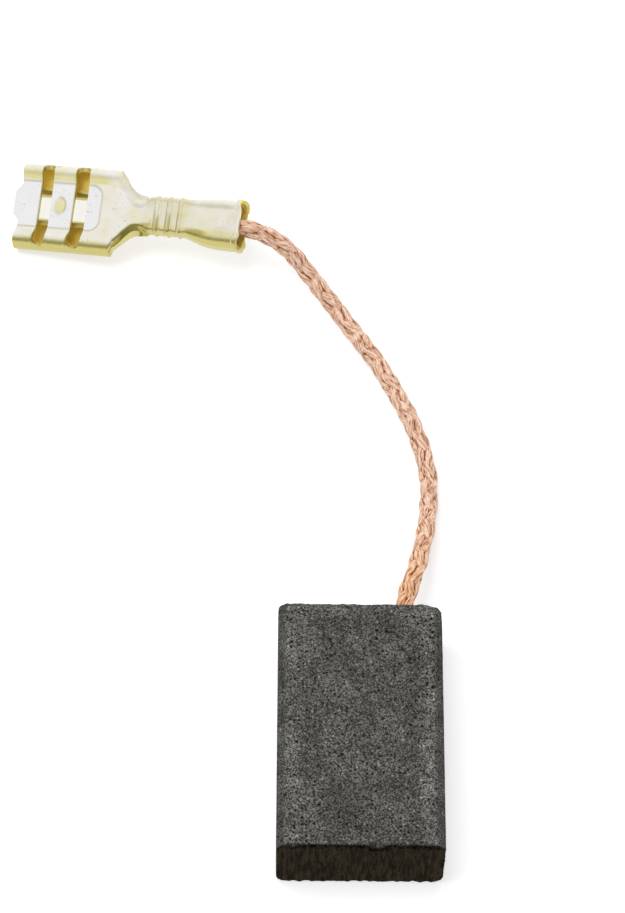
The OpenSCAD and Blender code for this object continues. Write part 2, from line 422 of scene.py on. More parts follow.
@dataclass(frozen=True)
class CopperStrand:
    """Bright fine copper wires laid side by side in each strand of the braid, with painted shade
    where strands pass under one another and at their edges.
    """

    bright: Colour = (0.97, 0.72, 0.56)
    middle: Colour = (0.70, 0.37, 0.23)
    deep: Colour = (0.20, 0.06, 0.02)
    heated: Colour = (1.0, 0.90, 0.72)
    wires: float = 6.0
    heated_band: tuple[float, float] = (0.022, 0.011)

    def material(self) -> bpy.types.Material:
        """Builds the material from the strand's own UV map and its "lift" attribute."""
        s = Shader("copper_strand")
        uv = s.node("UVMap", {"uv_map": "strand"}).outputs[0]
        part = s.node("SeparateXYZ", {}, {0: uv})
        across, along = s.number(part, 0), s.number(part, 1)
        bent = across + (s.noise(1.3, 2.0, 0.6) - 0.5) * 0.5
        wave = (bent * (2.0 * math.pi * self.wires)).sine() * 0.5 + 0.5
        wire = self._streak(s, bent * self.wires, along * 0.9)
        glint = self._streak(s, bent * (self.wires * 2.2), along * 2.6)
        tone = wire.rise(0.30, 0.70) * 0.55 + wave * 0.12 + glint.rise(0.35, 0.7) * 0.33
        lift = s.attribute("lift")
        # Painted shade: the colour darkens where a strand passes under another and towards its
        # edges, where the braid's crevices lie in shade.
        level = tone * (lift.rise(0.02, 0.6) * 0.5 + 0.5) + lift.rise(0.0, 0.45) * 0.34 - 0.22
        stops = ((0.15, self.deep), (0.44, self.middle), (0.78, self.bright))
        plain = s.ramp(level, stops)
        heated = s.blend(1.0, plain, self.heated, "MULTIPLY")
        near_block = s.axis(s.place(), 1).rise(*self.heated_band)
        return s.surface(
            Base_Color=s.blend(near_block, plain, heated),
            Metallic=0.6,
            Roughness=(glint * 0.3 + 0.28),
            Normal=s.bump(wave * 0.5 + wire * 0.8, 0.035),
        )

    @staticmethod
    def _streak(s: Shader, across: Number, along: Number) -> Number:
        """Noise drawn out along the wires."""
        place = s.node("CombineXYZ", {}, {0: across, 1: along, 2: 0.0}).outputs[0]
        return s.number(
            s.node("TexNoise", {}, {"Vector": place, "Scale": 1.0, "Detail": 2.0})
        )


@dataclass(frozen=True)
class BrassSheet:
    """Bright stamped brass, with painted reflection in its colour: a pale painted highlight on the
    flats, gold where it is bent.
    """

    # flat is the pale colour of a painted highlight, standing in for the key light's overexposed
    # reflection on the flats; bent is the yellow brass where that highlight is missing.
    flat: Colour = (0.865, 0.855, 0.86)
    bent: Colour = (0.77, 0.70, 0.31)
    # inner is the inside face's brass gold, made brighter than the brass as painted light standing
    # in for light reaching inside the rolls.
    inner: Colour = (1.0, 0.82, 0.20)
    # Olive of real wear nicks and of painted shade.
    nick_and_shade_olive: Colour = (0.42, 0.36, 0.09)

    def material(self) -> bpy.types.Material:
        """Builds the material from attributes of the mesh: the share of painted reflection, the
        painted shade, and the inner face.
        """
        s = Shader("brass_sheet")
        cloud = s.noise(2.1, 4.0, 0.65)
        bend = s.attribute("bend")
        # The bend share is a painted reflection: pale painted highlight on the flats, yellow on
        # bends and on places turned from the light, with random clouds of tone.
        face = s.blend((bend + (cloud - 0.5) * 0.9).rise(0.05, 0.95), self.flat, self.bent)
        nicks = s.noise(0.20, 2.0, 0.6)
        worn = nicks.rise(0.56, 0.74) * s.noise(1.1, 1.0, 0.5).rise(0.42, 0.62) * 0.42
        inner = s.attribute("inner")
        # Real wear nicks and the mesh's painted shade pull the colour towards olive, less so on the
        # inner face.
        nicks_and_painted_shade = worn.most(s.attribute("press") * 0.95) * (1.0 - inner * 0.6)
        colour = s.blend(nicks_and_painted_shade, s.blend(inner, face, self.inner), self.nick_and_shade_olive)
        scratch = s.noise(0.06, 2.0, 0.6, s.stretched((1.0, 0.16, 0.6), (0.0, 0.0, 0.2)))
        return s.surface(
            Base_Color=colour,
            # Less metal on the inner face is part of the same painted light in the rolls.
            Metallic=(1.0 - inner * 0.65),
            Roughness=(cloud * 0.12 + scratch * 0.10 + inner * 0.15 + 0.14),
            Normal=s.bump(nicks * 0.5 + scratch * 0.25 + cloud * 1.6, 0.014),
        )


# --------------------------------------------------------------------------- mesh helpers
def only(thing: bpy.types.Object) -> bpy.types.Object:
    """Deselects everything else and makes this object active."""
    bpy.ops.object.select_all(action="DESELECT")
    thing.select_set(True)
    bpy.context.view_layer.objects.active = thing
    return thing


def finish_modifiers(thing: bpy.types.Object) -> None:
    """Applies every modifier on an object, in order."""
    only(thing)
    for modifier in list(thing.modifiers):
        bpy.ops.object.modifier_apply(modifier=modifier.name)


def edit_select(
    thing: bpy.types.Object, kind: str, wanted: Callable[[object], bool]
) -> None:
    """Selects, in code, the vertices, edges or faces that a test picks, and enters edit mode.

    Args:
        thing: The object to edit.
        kind: "VERT", "EDGE" or "FACE".
        wanted: Says whether one element is selected.
    """
    only(thing)
    bpy.ops.object.mode_set(mode="EDIT")
    bpy.ops.mesh.select_mode(type=kind)
    bpy.ops.mesh.select_all(action="DESELECT")
    bpy.ops.object.mode_set(mode="OBJECT")
    mesh = thing.data
    elements = {"VERT": mesh.vertices, "EDGE": mesh.edges, "FACE": mesh.polygons}[kind]
    for element in elements:
        element.select = bool(wanted(element))
    bpy.ops.object.mode_set(mode="EDIT")


def leave_edit() -> None:
    """Returns to object mode."""
    bpy.ops.object.mode_set(mode="OBJECT")


def store(thing: bpy.types.Object, name: str, values: Iterable[float]) -> None:
    """Stores one number for each vertex under a name."""
    layer = thing.data.attributes.new(name, "FLOAT", "POINT")
    layer.data.foreach_set("value", list(values))


def dress(thing: bpy.types.Object, material: bpy.types.Material) -> None:
    """Gives an object this one material."""
    thing.data.materials.clear()
    thing.data.materials.append(material)


def smooth(thing: bpy.types.Object, angle: float) -> None:
    """Shades smooth, with edges sharper than the angle, in degrees, left hard."""
    only(thing)
    bpy.ops.object.shade_smooth_by_angle(angle=math.radians(angle))


# --------------------------------------------------------------------------- carbon block
@dataclass
class CarbonBlock:
    """The sintered block: broken long edges, chips and a ridged running face.

    It is solid. The shunt hole of its CAD node is not cut, and the plug's face hides that.
    """

    top_bevel: float = 0.7
    low_round: float = 0.8
    cell: float = 0.13
    fine_rough: float = 0.010
    broad_rough: float = 0.008
    sink: float = 0.018
    ridges: int = 14
    ridge_depth: float = 0.05
    edge_wear: float = 0.10
    edge_reach: float = 0.45
    corner_wear: float = 0.16
    corner_reach: tuple[float, float] = (1.5, 0.2)
    chip_push: Point = (0.0, 0.8, -0.75)
    chips: tuple[tuple[float, float, float], ...] = ((1.2, 0.75, 0.34), (-5.05, 0.45, 0.26))
    low: Vector = field(default_factory=Vector)
    high: Vector = field(default_factory=Vector)

    def build(self) -> bpy.types.Object:
        """Models and dresses the block in the place of its CAD node.

        Returns:
            The finished block.
        """
        self.low, self.high = (Vector(c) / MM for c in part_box("carbon_block"))
        block = self._blank()
        self._bevel_long_edges(block)
        self._grain_mesh(block)
        self._weather(block)
        smooth(block, 60.0)
        dress(block, SinteredCarbon().material(self.low.y * MM))
        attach(block, "root")
        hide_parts("carbon_block")
        return block

    def _blank(self) -> bpy.types.Object:
        """A plain block of the CAD node's size, its place in its mesh."""
        bpy.ops.object.select_all(action="DESELECT")
        bpy.ops.mesh.primitive_cube_add(size=1.0)
        block = bpy.context.object
        block.name = "pressed_block"
        middle, size = (self.low + self.high) / 2, self.high - self.low
        block.data.transform(Matrix.Translation(middle) @ Matrix.Diagonal((*size, 1.0)))
        return block

    def _bevel_long_edges(self, block: bpy.types.Object) -> None:
        """Bevels the four long edges: plain above, rounded below."""
        mesh = block.data
        edges = ((self.high.z, self.top_bevel, 1), (self.low.z, self.low_round, 5))
        for level, width, segments in edges:

            def is_long_edge(edge: bpy.types.MeshEdge) -> bool:
                """Whether the edge runs along Y at this level."""
                a, b = (mesh.vertices[v].co for v in edge.vertices)
                along = abs(a.y - b.y) > 1.0
                return along and abs(a.z - level) < SAME and abs(abs(a.x) - self.high.x) < SAME

            edit_select(block, "EDGE", is_long_edge)
            bpy.ops.mesh.bevel(offset=width, segments=segments, affect="EDGES")
            leave_edit()

    def _grain_mesh(self, block: bpy.types.Object) -> None:
        """Turns the block into small even cells that wear can move."""
        remesh = block.modifiers.new("cells", "REMESH")
        remesh.mode = "VOXEL"
        remesh.voxel_size = self.cell
        remesh.use_smooth_shade = True
        soften = block.modifiers.new("soften", "SMOOTH")
        soften.factor = 0.5
        soften.iterations = 2
        finish_modifiers(block)

    def _weather(self, block: bpy.types.Object) -> None:
        """Wears edges, breaks out chips, cuts the ridges and roughens every face."""
        middle = (self.low + self.high) / 2
        before = [(v.co.copy(), v.normal.copy()) for v in block.data.vertices]
        moved: list[float] = []
        for p, normal in before:
            rough = self.fine_rough * grain(p, 0.35) + self.broad_rough * grain(p, 1.4, 3.0)
            place = p + self._wear(p, middle) + self._chip(p) + normal * (rough - self.sink)
            if normal.y < -0.5:
                place.y += self._ridge(p.x)
            moved.extend(place * MM)
        block.data.vertices.foreach_set("co", moved)
        block.data.update()

    def _wear(self, p: Vector, middle: Vector) -> Vector:
        """Moves a point near an edge towards the block's middle by an uneven amount."""
        reach = [self.high[k] - abs(p[k] - middle[k]) - middle[k] for k in range(3)]
        near = [fade(r, self.edge_reach, 0.0) for r in reach]
        pull = near[0] * near[1] + near[1] * near[2] + near[0] * near[2]
        uneven = 0.45 + 0.55 * grain(p, 0.6, 7.0) + 0.35 * grain(p, 0.25, 9.0)
        corner = fade((p - self.high).length, *self.corner_reach)
        amount = self.edge_wear * pull * max(0.0, uneven) + self.corner_wear * corner
        inward = Vector([-math.copysign(n, p[k] - middle[k]) for k, n in enumerate(near)])
        return inward * amount

    def _chip(self, p: Vector) -> Vector:
        """Hollow of the chips broken out of the upper edge of the running face."""
        move = Vector()
        for x, radius, depth in self.chips:
            centre = Vector((x, self.low.y, self.high.z))
            off = p - centre
            off.x *= 0.8 + 0.2 * grain(p, 0.5, 5.0)
            gap = off.length * (1.0 + 0.35 * grain(p, 0.4, 2.0))
            move += Vector(self.chip_push) * depth * fade(gap, radius, radius * 0.25)
        return move

    def _ridge(self, x: float) -> float:
        """Depth of the bedding-in ridges at a place across the running face."""
        turn = (x - self.low.x) / (self.high.x - self.low.x) * self.ridges
        wander = 0.25 * grain((x, 0.0, 0.0), 1.7, 4.0)
        return self.ridge_depth * (0.5 - 0.5 * math.cos(2.0 * math.pi * (turn + wander)))


@dataclass
class TampedPlug:
    """Powder round the end of the braid: the CAD node itself, with its own material."""

    def build(self) -> bpy.types.Object:
        """Dresses the CAD plug.

        Returns:
            The plug's node.
        """
        plug = bpy.data.objects["tamping_plug"]
        dress(plug, TampedPowder().material())
        return plug


# --------------------------------------------------------------------------- terminal frame
@dataclass(frozen=True)
class TerminalFrame:
    """Where the terminal lies: u along its axis, v across, n out of the flat base."""

    origin: Point = (-27.8, 49.1, 3.16)
    yaw: float = -10.5
    pitch: float = 8.0
    roll: float = 21.0

    def turn(self) -> Matrix:
        """Rotation from the terminal's frame into the brush's."""
        yaw = Matrix.Rotation(math.radians(self.yaw), 3, "Z")
        pitch = Matrix.Rotation(math.radians(-self.pitch), 3, "Y")
        return yaw @ pitch @ Matrix.Rotation(math.radians(self.roll), 3, "X")

    def place(self, u: float, v: float, n: float) -> Vector:
        """A point of the terminal's frame in the brush's, both in millimetres."""
        return Vector(self.origin) + self.turn() @ Vector((u, v, n))


# --------------------------------------------------------------------------- braid
@dataclass
class BraidRoute:
    """Centre line of the braid, from the block to the end of the neck crimp.

    Sizes are in millimetres. The last three points lie in the crimp, which flattens the
    braid and turns its section with the terminal.
    """

    terminal: TerminalFrame
    diameter: float = 1.5
    flat_width: float = 1.9
    flat_height: float = 0.5
    flat_points: int = 3
    embedded: float = 1.2
    lie: float = 0.8
    sheet: float = 0.38
    step: float = 0.125
    fine_steps: int = 24
    crimp_slope: float = 67.5
    roll_over: tuple[float, float] = (14.0, 5.0)

    def __post_init__(self) -> None:
        """Lays the route's points and works out even stations along them."""
        crimp_n = -(self.sheet + math.sin(math.radians(self.crimp_slope)) * self.flat_height / 2)
        at = self.terminal.place
        lie = self.lie
        self.points = [Vector(p) for p in (
            (3.3, 10.15, 3.15), (3.6, 12.3, 3.1), (4.4, 15, 2.8), (5.1, 18.1, 2.1),
            (5.5, 21.2, 1.3), (5.6, 24.2, lie), (5.1, 27.1, lie), (4.2, 29.9, lie),
            (2.9, 32.7, lie), (1.5, 35.4, lie), (-0.3, 38.1, 0.9), (-2.1, 40.6, 1.3),
            (-3.7, 42.5, 2.1), (-5.3, 44.1, 3.2), (-7.1, 45.1, 4.2),
            at(18.6, -0.3, -1.2), at(16.6, -0.3, -1.2), at(15.2, -0.2, -1.15),
            at(14.3, 0, crimp_n - 0.05), at(13.8, 0, crimp_n), at(11.4, 0, crimp_n),
        )]
        self.stations = self._even_stations()
        self.length = (len(self.stations) - 1) * self.step

    def _curve(self, i: int, t: float) -> Vector:
        """Point on a smooth curve between route points i and i + 1."""
        pts = self.points
        a, b = pts[i], pts[i + 1]
        before = pts[i - 1] if i else a * 2 - b + Vector((-0.1, 0.0, 0.0))
        after = pts[i + 2] if i + 2 < len(pts) else b * 2 - a
        t2, t3 = t * t, t * t * t
        return 0.5 * (
            2 * a + (b - before) * t + (2 * before - 5 * a + 4 * b - after) * t2
            + (3 * a - before - 3 * b + after) * t3
        )

    def _even_stations(self) -> list[tuple[Vector, float]]:
        """Evenly spaced points, each with how far the crimp has flattened the braid."""
        fine: list[tuple[Vector, float]] = []
        count = len(self.points) - 1
        flat_from = count - self.flat_points
        for i in range(count):
            for j in range(self.fine_steps):
                t = j / self.fine_steps
                fine.append((self._curve(i, t), smooth_step(i + t - flat_from)))
        fine.append((self.points[-1], 1.0))
        out, travelled, target = [fine[0]], 0.0, self.step
        for (a, flat_a), (b, flat_b) in zip(fine, fine[1:]):
            gap = (b - a).length
            while travelled + gap >= target:
                k = (target - travelled) / gap
                out.append((a.lerp(b, k), lerp(flat_a, flat_b, k)))
                target += self.step
            travelled += gap
        return out

    def frame_at(self, s: float) -> tuple[Vector, Vector, Vector, float, float]:
        """Section of the braid at a distance along it.

        Args:
            s: Distance from the block, in millimetres; may be a little below zero.

        Returns:
            Centre, side and up directions, and the scales of the section along them.
        """
        x = s / self.step
        last = len(self.stations) - 1
        i = min(last - 1, max(0, int(math.floor(x))))
        (a, flat_a), (b, flat_b) = self.stations[i], self.stations[i + 1]
        k = x - i
        centre = a.lerp(b, k) if 0 <= k <= 1 else a + (b - a) * k
        flat = lerp(flat_a, flat_b, min(1.0, max(0.0, k)))
        ahead, behind = self.stations[min(last, i + 3)][0], self.stations[max(0, i - 2)][0]
        heading = (ahead - behind).normalized()
        side = heading.cross(Vector((0.0, 0.0, 1.0))).normalized()
        up = side.cross(heading)
        share = fade(s, self.length - self.roll_over[0], self.length - self.roll_over[1])
        side, up = rolled(side, up, math.radians(self.terminal.roll) * share)
        wide = lerp(1.0, self.flat_width / self.diameter, flat)
        high = lerp(1.0, self.flat_height / self.diameter, flat)
        return centre, side, up, wide, high


@dataclass
class WovenShunt:
    """Eight flat strands, four each way, that pass over and under one another."""

    route: BraidRoute
    lay: float = 12.0
    strands_each_way: int = 4
    middle_radius: float = 0.565
    swing: float = 0.075
    strand_width: float = 0.95
    strand_height: float = 0.25
    ridges: int = 6
    wobble: float = 0.05
    uneven: float = 0.018
    width_spread: tuple[float, float] = (0.94, 1.06)
    hollow: float = 0.10
    groove: float = 0.014
    seed: int = 11
    loose: tuple[tuple[float, int, float], ...] = ((7.6, 1, 0.12), (5.2, 2, 0.06))

    def build(self, terminal: bpy.types.Object) -> bpy.types.Object:
        """Args:
            terminal: The piece crimped on its far end; not used.

        Returns:
            The finished braid.
        """
        points: list[Vector] = []
        faces: list[tuple[int, ...]] = []
        lifts: list[float] = []
        uvs: list[tuple[float, float]] = []
        chooser = random.Random(self.seed)
        for way in (1, -1):
            for k in range(self.strands_each_way):
                self._strand(way, k, chooser, points, faces, lifts, uvs)
        mesh = bpy.data.meshes.new("woven_shunt")
        mesh.from_pydata([p * MM for p in points], [], faces)
        braid = bpy.data.objects.new("woven_shunt", mesh)
        bpy.context.collection.objects.link(braid)
        layer = mesh.uv_layers.new(name="strand")
        for loop in mesh.loops:
            layer.data[loop.index].uv = uvs[loop.vertex_index]
        store(braid, "lift", lifts)
        smooth(braid, 75.0)
        dress(braid, CopperStrand().material())
        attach(braid, "root")
        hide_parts("shunt_braid")
        path = [tuple(c * MM) for c, _ in self.route.stations[::8]]
        return braid

    def _profile(self) -> list[tuple[float, float, float]]:
        """Points round a strand's section: across, up and the share of a wire ridge."""
        top = 2 * self.ridges
        ring = [(-1.0 + 2.0 * j / top, 1.0, float(j % 2)) for j in range(top + 1)]
        under = [(0.66, -1.0, 0.0), (0.22, -1.0, 0.0), (-0.22, -1.0, 0.0), (-0.66, -1.0, 0.0)]
        return ring + under

    def _strand(
        self,
        way: int,
        k: int,
        chooser: random.Random,
        points: list[Vector],
        faces: list[tuple[int, ...]],
        lifts: list[float],
        uvs: list[tuple[float, float]],
    ) -> None:
        """Adds one strand to the lists of the braid's mesh.

        Args:
            way: 1 for a strand that winds to the right, -1 to the left.
            k: Number of the strand among those that wind its way.
            chooser: Seeded source of the strand's own small faults.
            points: Vertices so far, in millimetres.
            faces: Faces so far.
            lifts: How far outside each vertex lies, 0 to 1; the material paints shade with it.
            uvs: Place of each vertex across and along its strand.
        """
        profile = self._profile()
        offset, seed = len(points), chooser.uniform(0.0, 50.0)
        wider = chooser.uniform(*self.width_spread)
        start, end = -self.route.embedded, self.route.length
        count = int((end - start) / self.route.step)
        slope = math.atan(2.0 * math.pi * 0.6 / self.lay)
        for i in range(count + 1):
            s = start + (end - start) * i / count
            turn = way * 2.0 * math.pi * s / self.lay + k * 2.0 * math.pi / self.strands_each_way
            over = way * math.cos(self.strands_each_way * turn)
            wobble = self.wobble * grain((s, seed, 0.0), 2.6)
            lift = self._loosening(s, k, way, over)
            radius = self.middle_radius + self.swing * over
            radius += self.uneven * grain((s, 0.0, seed), 1.9)
            radius += lift
            width = self.strand_width * wider * (0.93 + 0.07 * over)
            for across, up, ridge in profile:
                e = across * width / 2
                bulge = math.sqrt(max(0.0, 1.0 - 0.93 * across * across))
                height = self.strand_height / 2 * bulge * up - self.hollow * across * across
                height -= self.groove * (1.0 - ridge) if up > 0 else 0.0
                r = radius + height
                angle = turn + wobble + e * math.cos(slope) / max(0.35, radius)
                centre, side, high, wide_k, high_k = self.route.frame_at(
                    min(end, s - way * e * math.sin(slope))
                )
                place = centre + side * (math.cos(angle) * r * wide_k)
                points.append(place + high * (math.sin(angle) * r * high_k))
                # Low lift is darkened by the material as painted shade in the crevices.
                lifts.append(min(1.0, max(0.0, 0.56 + 0.44 * over - 0.75 * abs(across) ** 2.2)))
                uvs.append((across / 2 + 0.5, s))
        n = len(profile)
        for i in range(count):
            for j in range(n):
                a, b = offset + i * n + j, offset + i * n + (j + 1) % n
                faces.append((a, b, b + n, a + n))
        faces.append(tuple(offset + j for j in reversed(range(n))))
        faces.append(tuple(offset + count * n + j for j in range(n)))

    def _loosening(self, s: float, k: int, way: int, over: float) -> float:
        """How far a loose stretch of this strand stands off the braid."""
        out = 0.0
        for place, number, rise in self.loose:
            if number == k and way > 0:
                out += rise * fade(abs(s - place), 1.0, 0.0) * max(0.0, over)
        return out


# --------------------------------------------------------------------------- terminal
@dataclass(frozen=True)
class Section:
    """Half of the folded sheet's section at a place along the terminal.

    From the middle outwards: a flat, the side bend, a wall or floor, the curl, a straight
    and the hook at the edge. Lengths are in millimetres, angles in degrees; a negative
    curl turns outwards.
    """

    u: float
    flat: float
    bend_r: float
    bend: float
    wall: float
    curl_r: float
    curl: float
    straight: float
    hook: float = 0.0
    hook_r: float = 0.25
    end: float = 0.1

    def sizes(self) -> tuple[float, ...]:
        """All sizes after u, in order."""
        return astuple(self)[1:]

    def runs(self) -> tuple[tuple[float, float], ...]:
        """Length and curvature of each stretch from the middle to the edge."""
        bend, curl, hook = (math.radians(a) for a in (self.bend, self.curl, self.hook))
        return (
            (self.flat, 0.0),
            (self.bend_r * bend, 1.0 / self.bend_r),
            (self.wall, 0.0),
            (self.curl_r * abs(curl), math.copysign(1.0 / self.curl_r, curl)),
            (self.straight, 0.0),
            (self.hook_r * hook, 1.0 / self.hook_r),
            (self.end, 0.0),
        )

    def length(self) -> float:
        """Length of the sheet's middle from the axis to the edge."""
        return sum(length for length, _ in self.runs())

    def at(self, s: float) -> tuple[float, float, float]:
        """Place and heading of the sheet's middle at a length from the axis.

        Args:
            s: Length along the sheet, not negative.

        Returns:
            Distance across, height and the heading's angle below level, in radians.
        """
        v = n = turned = 0.0
        for length, curvature in self.runs():
            run = min(s, length)
            if curvature:
                after = turned + run * curvature
                v += (math.sin(after) - math.sin(turned)) / curvature
                n -= (math.cos(turned) - math.cos(after)) / curvature
                turned = after
            else:
                v += run * math.cos(turned)
                n -= run * math.sin(turned)
            s -= run
            if s <= 1e-9:
                break
        return v + s * math.cos(turned), n - s * math.sin(turned), turned


class SectionTrack:
    """Sections joined into one smooth run along the terminal."""

    def __init__(self, sections: Sequence[Section]) -> None:
        """Works out how fast each size changes at each listed section."""
        self.places = [section.u for section in sections]
        self.sizes = [section.sizes() for section in sections]
        self.slopes = [self._slopes(column) for column in zip(*self.sizes)]

    def _slopes(self, values: Sequence[float]) -> list[float]:
        """Slopes that keep a size from overshooting between its listed values."""
        gaps = [b - a for a, b in zip(self.places, self.places[1:])]
        secants = [(b - a) / gap for a, b, gap in zip(values, values[1:], gaps)]
        inner = [
            2.0 * a * b / (a + b) if a * b > 0.0 else 0.0 for a, b in zip(secants, secants[1:])
        ]
        return [secants[0], *inner, secants[-1]]

    def at(self, u: float) -> Section:
        """The section at a place along the terminal."""
        i = max(0, min(len(self.places) - 2, bisect.bisect_right(self.places, u) - 1))
        gap = self.places[i + 1] - self.places[i]
        t = min(1.0, max(0.0, (u - self.places[i]) / gap))
        t2, t3 = t * t, t * t * t
        values = []
        for k, slopes in enumerate(self.slopes):
            a, b = self.sizes[i][k], self.sizes[i + 1][k]
            values.append(
                (2 * t3 - 3 * t2 + 1) * a + (3 * t2 - 2 * t3) * b
                + gap * ((t3 - 2 * t2 + t) * slopes[i] + (t3 - t2) * slopes[i + 1])
            )
        return Section(u, *values)


@dataclass(frozen=True)
class FoldedPoint:
    """Where one point of the blank ends up, and its shares of painted reflection and painted shade.
    """

    place: Vector
    bend: float
    press: float


@dataclass(frozen=True)
class PaintedShadePatch:
    """Oval place darkened by painted shade and dark reflections."""

    middle: tuple[float, float]
    half: tuple[float, float]
    shade_strength: float

    def strength(self, u: float, v: float) -> float:
        """How dark the patch's painted shade makes a place of the terminal."""
        off = math.hypot((u - self.middle[0]) / self.half[0], (v - self.middle[1]) / self.half[1])
        return self.shade_strength * fade(off, 1.25, 0.5)


@dataclass
class PushOnTerminal:
    """Push-on receptacle stamped from one brass sheet, then folded and crimped.

    Along the terminal u runs from the entry of the tab, across it v is positive on the
    side away from the block, and s is the same along the flat blank, from its middle.
    """

    frame: TerminalFrame
    sheet: float = 0.38
    length: float = 18.6
    receptacle: float = 8.0
    lip: float = 0.5
    lip_half: tuple[float, float] = (0.95, 1.55)
    notch_s: float = 4.4
    slit: tuple[float, float] = (0.2, 3.35)
    slots: tuple[tuple[float, float], ...] = ((2.12, 0.95), (5.09, 1.12))
    slot_marks: tuple[tuple[float, float], ...] = (
        (-0.5, 0.03), (-0.42, 0.06), (-0.25, 0.12), (0.25, 0.06), (0.42, 0.03), (0.5, 0.12),
    )
    slot_end: tuple[float, float] = (3.42, 3.66)
    slot_round: float = 0.85
    roll_lead: tuple[float, float] = (0.24, 0.12)
    slot_flare: tuple[float, float] = (0.13, 0.04)
    entry_lead: tuple[float, float] = (0.10, 0.08)
    lead_across: tuple[float, float] = (1.7, 3.1)
    flare_at: float = 2.85
    far_ease: float = 0.45
    near_curl: float = 0.15
    near_tuck: float = 0.034
    pad_half: float = 1.86
    pad_end: float = 6.8
    pad_round: float = 0.85
    pad_rise: float = 0.03
    dimple_at: float = 3.37
    dimple_half: tuple[float, float] = (0.52, 0.7)
    dimple_depth: float = 0.05
    ribs: tuple[tuple[float, float], ...] = (
        (11.08, 0.02), (11.59, 0.13), (12.08, 0.04), (12.60, 0.13), (13.09, 0.04),
        (13.57, 0.13), (13.8, 0.03),
    )
    rib_half: float = 0.15
    # Painted shade: dark places along the near shoulder and barrel, between the ribs, and faint ones
    # on the far side.
    painted_shade_patches: tuple[PaintedShadePatch, ...] = (
        PaintedShadePatch((15.0, -1.12), (1.0, 0.24), 0.85),
        PaintedShadePatch((10.5, -0.95), (0.9, 0.26), 0.8),
        PaintedShadePatch((12.4, -1.42), (1.4, 0.10), 0.4),
        PaintedShadePatch((11.72, -0.85), (0.17, 0.8), 0.85),
        PaintedShadePatch((12.70, -0.7), (0.13, 0.9), 0.8),
        PaintedShadePatch((13.45, -0.8), (0.10, 0.8), 0.6),
        PaintedShadePatch((11.15, -0.9), (0.12, 0.5), 0.5),
        PaintedShadePatch((11.0, 0.9), (0.5, 0.5), 0.3),
        PaintedShadePatch((17.3, -0.85), (1.2, 0.5), 0.22),
        PaintedShadePatch((16.6, 1.2), (1.6, 0.25), 0.2),
        PaintedShadePatch((10.2, 0.75), (0.7, 0.3), 0.14),
        PaintedShadePatch((14.2, 0.9), (0.5, 0.5), 0.14),
        PaintedShadePatch((17.9, 0.1), (0.5, 0.8), 0.16),
        PaintedShadePatch((8.9, 1.9), (0.8, 0.3), 0.12),
    )
    mouth_notch: float = 0.28
    mouth_from: float = 16.6
    mouth_bends: tuple[float, float] = (1.85, 1.75)
    roll_spare: float = 0.22
    bell: float = 0.07
    bell_from: tuple[float, float] = (0.34, 0.2)
    # How far behind each rib's crest its line of painted shade lies.
    rib_shade_offset: float = 0.12
    edge_round: float = 0.05
    sharp: float = 50.0

    def __post_init__(self) -> None:
        """Lists the sections, and how far they stand off the terminal's axis."""
        self.track = SectionTrack((
            Section(-1.0, 2.41, 1.02, 180, 0.58, 0.65, 126, 0.1),
            Section(0.0, 2.41, 1.02, 180, 0.58, 0.65, 126, 0.1),
            Section(7.9, 2.46, 1.02, 180, 0.62, 0.65, 126, 0.1),
            Section(8.0, 2.46, 1.02, 180, 0.62, 0.65, 126, 0.1),
            Section(8.2, 2.25, 0.40, 42, 0.50, 0.5, -34, 0.18),
            Section(8.45, 1.93, 0.38, 40, 0.55, 0.5, -34, 0.14),
            Section(8.7, 1.58, 0.36, 38, 0.60, 0.5, -32, 0.16),
            Section(9.05, 1.14, 0.35, 37, 0.52, 0.5, -30, 0.24),
            Section(9.6, 0.70, 0.35, 37, 0.44, 0.5, -28, 0.32),
            Section(10.05, 0.60, 0.35, 40, 0.36, 0.5, -26, 0.30),
            Section(10.6, 0.78, 0.34, 60, 0.40, 0.36, 10, 0.4),
            Section(11.0, 1.02, 0.30, 90, 0.62, 0.3, 90, 0.8, 20),
            Section(11.4, 1.05, 0.30, 90, 0.66, 0.3, 90, 0.9, 60),
            Section(13.7, 1.05, 0.30, 90, 0.66, 0.3, 90, 0.9, 60),
            Section(14.1, 0.98, 0.38, 90, 0.80, 0.38, 90, 0.85, 70),
            Section(14.9, 0.95, 0.60, 90, 0.85, 0.6, 90, 0.8, 100),
            Section(15.75, 0.95, 0.78, 90, 0.80, 0.72, 90, 0.8, 120),
            Section(16.7, 0.99, 0.83, 90, 0.82, 0.78, 90, 0.8, 130),
            Section(18.6, 1.02, 0.85, 90, 0.86, 0.8, 90, 0.82, 130),
        ))
        self.drift = (
            (8.6, 0.0), (9.1, -0.12), (10.0, -0.2), (10.6, -0.15), (11.2, -0.02), (14.0, -0.04),
            (15.0, -0.13), (16.2, -0.19), (18.6, -0.19),
        )

    def build(self) -> bpy.types.Object:
        """Cuts the blank, folds it, gives it thickness and dresses it.

        Returns:
            The finished terminal.
        """
        blank = self._blank()
        self._cut_out(blank)
        self._fold(blank)
        self._thicken(blank)
        dress(blank, BrassSheet().material())
        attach(blank, "root")
        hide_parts("push_on_terminal")
        return blank

    # -- the flat blank
    def _columns(self) -> list[float]:
        """Places along the blank where its mesh has a column."""
        marks = [(-self.lip, 0.12), (0.0, 0.12)]
        for middle, width in self.slots:
            marks += [(middle + width * share, step) for share, step in self.slot_marks]
        marks += [
            (6.5, 0.08), (self.receptacle, 0.05), (self.receptacle + self.slit[0], 0.09),
            (10.9, 0.055), (13.95, 0.1), (18.0, 0.07), (self.length, 0.1),
        ]
        return self._filled(sorted(marks))

